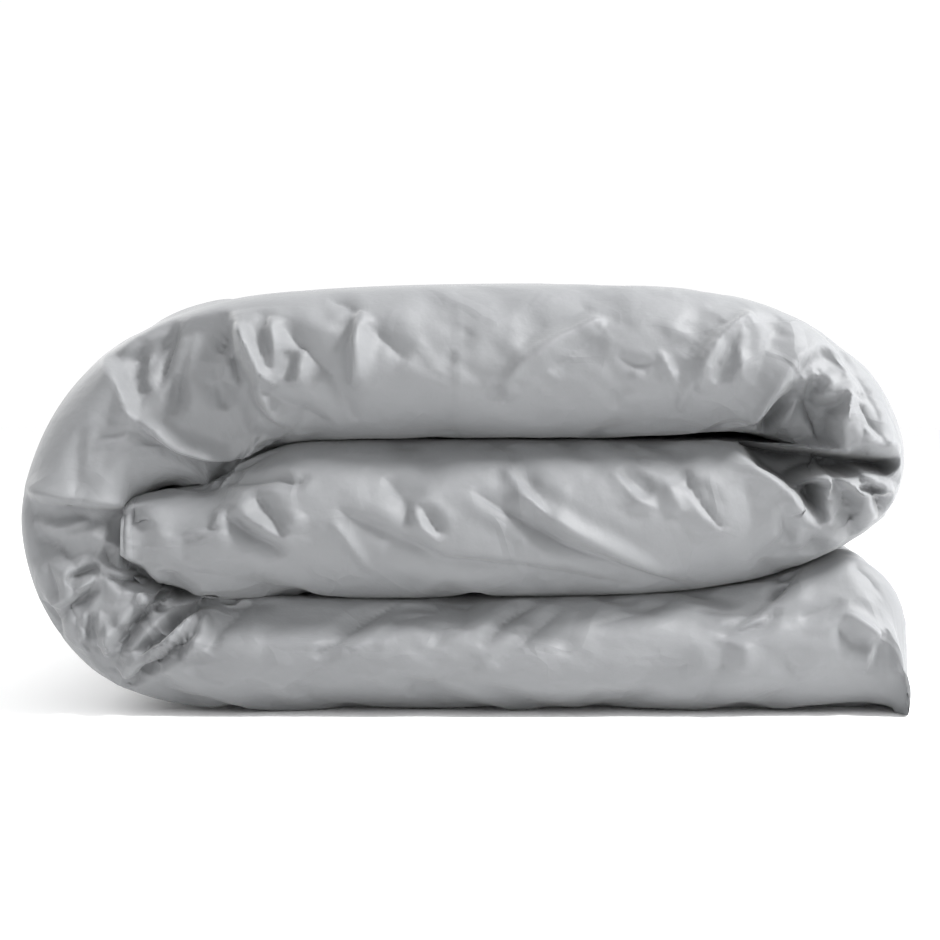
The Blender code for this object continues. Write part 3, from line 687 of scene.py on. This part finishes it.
def pucker(strip):
    """Small gathers along the sewn edge, where the thread draws the cover in."""
    steps = np.arange(len(strip.zones)) - strip.seam
    near = np.exp(-((steps / PUCKER_STEPS) ** 2))
    drift = 2.2 * np.sin(17 * strip.along) + np.sin(41 * strip.along)
    wave = np.sin(2 * np.pi * strip.along / PUCKER_LENGTH + drift)
    height = PUCKER_HEIGHT * wave[:, None] * near[None, :]
    y = strip.points[:, :, 1]
    gathers = np.sin(2 * np.pi * y / GATHER_LENGTH + 1.5 * np.sin(31 * y)) * (1 + 0.5 * np.sin(53 * y))
    at_end = np.exp(-strip.along / GATHER_REACH) * smooth(strip.along / 0.006)
    height += GATHER_HEIGHT * gathers * at_end[:, None] * np.isin(strip.zones, (FRONT, INNER))[None, :]
    strip.points = strip.points + strip.normals() * height[:, :, None]


# ---- Pieces ------------------------------------------------------------------------------------


def grid_object(points, name, along=None, across=None, normals=None):
    """A closed object from a grid that closes on itself, with a face over each end.

    With along and across, the distances along the cloth and round it, it also gets a map in
    metres of cloth.
    """
    count, around = points.shape[:2]
    mesh = bpy.data.meshes.new(name)
    index = np.arange(count * around).reshape(count, around)
    a, b = index[:-1], index[1:]
    quads = np.stack([a, np.roll(a, -1, axis=1), np.roll(b, -1, axis=1), b], axis=2).reshape(-1, 4)
    caps = [list(index[0][::-1]), list(index[-1])]
    mesh.from_pydata(points.reshape(-1, 3), [], quads.tolist() + caps)
    mesh.update()
    mesh.shade_smooth()
    if along is not None:
        across = np.append(across, across[-1] + 0.003)
        u = np.stack([along[:-1], along[:-1], along[1:], along[1:]], axis=1)
        v = np.stack([across[:-1], across[1:], across[1:], across[:-1]], axis=1)
        places = np.stack([np.repeat(u, around, axis=0), np.tile(v, (count - 1, 1))], axis=2)
        cloth = mesh.uv_layers.new(name="cloth")
        flat = np.zeros((len(mesh.loops), 2), np.float32)
        flat[: places.size // 2] = places.reshape(-1, 2)
        cloth.data.foreach_set("uv", flat.reshape(-1))
    if normals is not None:
        mesh.normals_split_custom_set_from_vertices(normals.reshape(-1, 3).tolist())
    obj = bpy.data.objects.new(name, mesh)
    bpy.context.scene.collection.objects.link(obj)
    return obj


def hinge_stations(strip):
    """The station next to each hinge line, and the stations halfway between them where the cover is cut."""
    places = [np.array(joint["pos_m"])[[0, 2]] for joint in frame["joints"]]
    nearest = [int(np.argmin(np.linalg.norm(strip.line[:, :2] - place, axis=1))) for place in places]
    half = (nearest[-1] - nearest[0]) // (2 * (len(nearest) - 1))
    cuts = [nearest[0] - half] + [(i + j) // 2 for i, j in zip(nearest, nearest[1:])] + [nearest[-1] + half]
    return nearest, cuts


def add_skin(strip):
    """The covered insert: one piece for each stack of layers, and one for each hinge line."""
    nearest, cuts = hinge_stations(strip)
    normals = strip.normals()
    made = []

    def piece(name, first, last, nodes):
        rows = slice(first, last + 1)
        obj = grid_object(strip.points[rows], name, strip.along[rows], strip.across, normals[rows])
        obj.data.materials.append(cover_fabric())
        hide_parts(*nodes)
        made.append(obj)
        return obj

    bottom = piece("bottom_layer_cover", 0, cuts[0], BOTTOM_NODES)
    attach(bottom, "bottom_layer")
    for number, joint in enumerate(frame["joints"]):
        first, last = cuts[number], cuts[number + 1]
        turn = piece(f"outer_turn_cover_{number + 1}", first, last, TURN_NODES[number])
        ahead = strip.ahead[nearest[number]]
        ahead = np.array([ahead[0], 0, ahead[1]])
        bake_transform(turn)
    wrapped = piece("wrapped_layers_cover", cuts[-1], STATIONS - 1, WRAPPED_NODES)
    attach(wrapped, "wrapped_layers")


def add_placket(strip):
    """The hem with the buttons, a band of doubled cloth round the inner end."""
    rows = slice(int(np.searchsorted(strip.along, strip.along[-1] - PLACKET_LENGTH)), STATIONS - 1)
    proud = strip.points[rows] + strip.normals()[rows] * PLACKET_PROUD
    band = grid_object(proud, "placket_band", strip.along[rows], strip.across)
    band.data.materials.append(cover_fabric())
    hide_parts("placket")
    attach(band, "wrapped_layers")
    row = (rows.start + rows.stop) // 2
    for number, (zone, y) in enumerate(BUTTON_PLACES, 1):
        places = np.nonzero(strip.zones == zone)[0]
        spot = places[np.argmin(np.abs(strip.points[row, places, 1] - y))]
        normal = Vector(strip.normals()[row, spot])
        button = button_object(f"button_{number}_detail")
        button.rotation_euler = normal.to_track_quat("Z", "Y").to_euler()
        button.location = Vector(strip.points[row, spot]) + normal * PLACKET_PROUD
        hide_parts(f"button_{number}")
        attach(button, "wrapped_layers")


def button_object(name):
    """A round button with a raised rim and four small knots of thread on its face."""
    steps = BUTTON_SIDES
    shape = bmesh.new()
    rings = []
    for radius, height in BUTTON_PROFILE:
        angles = [2 * math.pi * i / steps for i in range(steps)] if radius else [0]
        ring = [shape.verts.new((radius * math.cos(a), radius * math.sin(a), height)) for a in angles]
        rings.append(ring)
    for low, high in zip(rings, rings[1:]):
        for i in range(steps):
            below = [low[i % len(low)], low[(i + 1) % len(low)]]
            above = [high[(i + 1) % len(high)], high[i % len(high)]]
            shape.faces.new(list(dict.fromkeys(below + above)))
    for x, y in ((1, 1), (-1, 1), (-1, -1), (1, -1)):
        knot = bmesh.ops.create_uvsphere(shape, u_segments=10, v_segments=6, radius=KNOT_RADIUS)
        place = (KNOT_OFFSET * x, KNOT_OFFSET * y, KNOT_HEIGHT)
        bmesh.ops.translate(shape, verts=knot["verts"], vec=place)
    bmesh.ops.recalc_face_normals(shape, faces=shape.faces)
    mesh = bpy.data.meshes.new(name)
    shape.to_mesh(mesh)
    shape.free()
    mesh.shade_smooth()
    mesh.materials.append(button_plastic())
    obj = bpy.data.objects.new(name, mesh)
    bpy.context.scene.collection.objects.link(obj)
    return obj


def add_label(strip):
    """A small blank care label, caught in the sewn edge at the back of the bottom layer."""
    row = int(np.argmin(np.abs(strip.line[:200, 0] - LABEL_X)))
    root = strip.points[row, strip.seam]
    steps, wide = 14, 10
    t = np.linspace(0, 1, steps)[:, None]
    w = np.linspace(-0.5, 0.5, wide)[None, :]
    x = root[0] + LABEL_WIDTH * w + 0 * t
    y = root[1] - 0.006 + LABEL_LENGTH * t + 0.001 * np.sin(5 * w + 4 * t)
    z = root[2] - 0.012 * t**2 + 0.0014 * t * np.sin(6 * w + 5 * t)
    top = np.stack([x, y, z], axis=2)
    low = top[:, ::-1] - np.array([0, 0, LABEL_THICKNESS])
    label = grid_object(np.concatenate([top, low], axis=1), "care_label_detail")
    label.data.materials.append(tape_fabric())
    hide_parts("care_label")
    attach(label, "bottom_layer")


# ---- Materials ---------------------------------------------------------------------------------


def new_material(name, colour, roughness):
    """A material, its node tree and its shader."""
    made = bpy.data.materials.new(name)
    made.use_nodes = True
    shader = made.node_tree.nodes["Principled BSDF"]
    shader.inputs["Base Color"].default_value = (*colour, 1)
    shader.inputs["Roughness"].default_value = roughness
    return made, made.node_tree, shader


def cloth_places(tree):
    """Coordinates in metres along and across the cloth."""
    return tree.nodes.new("ShaderNodeTexCoord").outputs["UV"]


def vary_colour(tree, shader, places, colours, scale):
    """Mixes two close colours by a soft noise."""
    noise = tree.nodes.new("ShaderNodeTexNoise")
    noise.inputs["Scale"].default_value = scale
    noise.inputs["Detail"].default_value = 4
    ramp = tree.nodes.new("ShaderNodeValToRGB")
    for element, place, colour in zip(ramp.color_ramp.elements, (0.35, 0.65), colours):
        element.position = place
        element.color = (*colour, 1)
    tree.links.new(places, noise.inputs["Vector"])
    tree.links.new(noise.outputs["Fac"], ramp.inputs["Fac"])
    tree.links.new(ramp.outputs["Color"], shader.inputs["Base Color"])


def add_bump(tree, height, strength, depth, under=None):
    bump = tree.nodes.new("ShaderNodeBump")
    bump.inputs["Strength"].default_value = strength
    bump.inputs["Distance"].default_value = depth
    tree.links.new(height, bump.inputs["Height"])
    if under:
        tree.links.new(under, bump.inputs["Normal"])
    return bump.outputs["Normal"]


def threads(tree, places, direction, scale):
    wave = tree.nodes.new("ShaderNodeTexWave")
    wave.bands_direction = direction
    wave.inputs["Scale"].default_value = scale
    wave.inputs["Distortion"].default_value = 0.6
    tree.links.new(places, wave.inputs["Vector"])
    return wave.outputs["Fac"]


def weave(tree, places, scale):
    """Warp and weft: the higher of two thread directions."""
    highest = tree.nodes.new("ShaderNodeMath")
    highest.operation = "MAXIMUM"
    tree.links.new(threads(tree, places, "X", scale), highest.inputs[0])
    tree.links.new(threads(tree, places, "Y", scale), highest.inputs[1])
    return highest.outputs["Value"]


def maths(tree, operation, first, second):
    """A maths node on two values, each a socket or a number."""
    node = tree.nodes.new("ShaderNodeMath")
    node.operation = operation
    for value, socket in zip((first, second), node.inputs):
        if isinstance(value, (int, float)):
            socket.default_value = value
        else:
            tree.links.new(value, socket)
    return node.outputs["Value"]


def between(tree, value, low, high):
    """0 below the low value, 1 above the high one and a straight ramp in between."""
    node = tree.nodes.new("ShaderNodeMapRange")
    node.inputs["From Min"].default_value = low
    node.inputs["From Max"].default_value = high
    tree.links.new(value, node.inputs["Value"])
    return node.outputs["Result"]


def noise_at(tree, places, scale, detail):
    noise = tree.nodes.new("ShaderNodeTexNoise")
    noise.inputs["Scale"].default_value = scale
    noise.inputs["Detail"].default_value = detail
    tree.links.new(places, noise.inputs["Vector"])
    return noise


def crease_lines(tree, places, scale, width):
    """Short pressed creases: the edges of warped cells, kept only where a slow noise is high."""
    warp = tree.nodes.new("ShaderNodeVectorMath")
    warp.operation = "MULTIPLY_ADD"
    warp.inputs[1].default_value = (0.5 / scale, 0.5 / scale, 0)
    tree.links.new(noise_at(tree, places, scale, 2).outputs["Color"], warp.inputs[0])
    tree.links.new(places, warp.inputs[2])
    cells = tree.nodes.new("ShaderNodeTexVoronoi")
    cells.feature = "DISTANCE_TO_EDGE"
    cells.inputs["Scale"].default_value = scale
    tree.links.new(warp.outputs["Vector"], cells.inputs["Vector"])
    line = maths(tree, "SUBTRACT", 1.0, between(tree, cells.outputs["Distance"], 0, width * scale))
    kept = between(tree, noise_at(tree, places, 0.8 * scale, 1).outputs["Fac"], 0.48, 0.62)
    return maths(tree, "MULTIPLY", line, kept)


@functools.cache
def cover_fabric():
    """Fine grey percale with a faint sheen, small crumples and a close weave."""
    made, tree, shader = new_material("cover_fabric", COVER_COLOUR, 0.58)
    shader.inputs["Sheen Weight"].default_value = 0.18
    shader.inputs["Sheen Roughness"].default_value = 0.45
    shader.inputs["Specular IOR Level"].default_value = 0.42
    places = cloth_places(tree)
    vary_colour(tree, shader, places, (COVER_COLOUR, COVER_COLOUR_LIGHT), 9)
    crumple = tree.nodes.new("ShaderNodeTexNoise")
    crumple.inputs["Scale"].default_value = 55
    crumple.inputs["Detail"].default_value = 3
    tree.links.new(places, crumple.inputs["Vector"])
    normal = add_bump(tree, crumple.outputs["Fac"], 0.5, 0.0022)
    for scale, width, depth in CREASE_LINES:
        normal = add_bump(tree, crease_lines(tree, places, scale, width), 1.0, depth, normal)
    normal = add_bump(tree, weave(tree, places, 520), 0.25, 0.00012, normal)
    tree.links.new(normal, shader.inputs["Normal"])
    return made


@functools.cache
def tape_fabric():
    """Undyed woven tape."""
    made, tree, shader = new_material("tape_fabric", TAPE_COLOUR, 0.8)
    places = tree.nodes.new("ShaderNodeTexCoord").outputs["Object"]
    vary_colour(tree, shader, places, (TAPE_COLOUR, TAPE_COLOUR_DARK), 120)
    tree.links.new(add_bump(tree, weave(tree, places, 300), 0.4, 0.0002), shader.inputs["Normal"])
    return made


@functools.cache
def button_plastic():
    """Satin grey plastic with a slight cloud in it."""
    made, tree, shader = new_material("button_plastic", BUTTON_COLOUR, 0.35)
    places = tree.nodes.new("ShaderNodeTexCoord").outputs["Object"]
    vary_colour(tree, shader, places, (BUTTON_COLOUR_DARK, BUTTON_COLOUR_LIGHT), 160)
    return made


# ---- Camera, floor and light -------------------------------------------------------------------


def add_camera():
    data = bpy.data.cameras.new("camera")
    data.lens = CAMERA_LENS
    data.sensor_width = CAMERA_SENSOR
    camera = bpy.data.objects.new("camera", data)
    bpy.context.scene.collection.objects.link(camera)
    tilt = math.radians(CAMERA_TILT_DEG)
    back = Vector((0, -math.cos(tilt), math.sin(tilt)))
    camera.location = Vector(CAMERA_TARGET) + back * CAMERA_DISTANCE
    camera.rotation_euler = (math.pi / 2 - tilt, 0, 0)
    bpy.context.scene.camera = camera


def add_light(name, location, target, size, power):
    data = bpy.data.lights.new(name, "AREA")
    data.shape = "DISK"
    data.size = size
    data.energy = power
    light = bpy.data.objects.new(name, data)
    bpy.context.scene.collection.objects.link(light)
    light.location = location
    light.rotation_euler = (Vector(target) - Vector(location)).to_track_quat("-Z", "Y").to_euler()


def add_stage():
    bpy.ops.mesh.primitive_plane_add(size=14, location=(0, 2, 0))
    floor = bpy.context.object
    floor.name = "floor"
    made = bpy.data.materials.new("floor")
    made.use_nodes = True
    shader = made.node_tree.nodes["Principled BSDF"]
    shader.inputs["Base Color"].default_value = (FLOOR_TONE, FLOOR_TONE, FLOOR_TONE, 1)
    shader.inputs["Roughness"].default_value = 0.9
    floor.data.materials.append(made)
    world = bpy.data.worlds.new("studio")
    bpy.context.scene.world = world
    world.use_nodes = True
    world.node_tree.nodes["Background"].inputs["Color"].default_value = (1, 1, 1, 1)
    world.node_tree.nodes["Background"].inputs["Strength"].default_value = WORLD_STRENGTH
    bpy.context.scene.view_settings.view_transform = "Standard"
    for light in LIGHTS:
        add_light(*light)


strip = Strip()
settle(strip)
work_in_folds(strip)
scatter_creases(strip)
pucker(strip)
strip.points[:, :, 2] = np.maximum(strip.points[:, :, 2], FLOOR_ROOM)
add_skin(strip)
add_placket(strip)
add_label(strip)
for name in INSIDE_NODES:
    node = frame["nodes"][name]
    node.data.materials.clear()
    node.data.materials.append(tape_fabric())
add_stage()
add_camera()
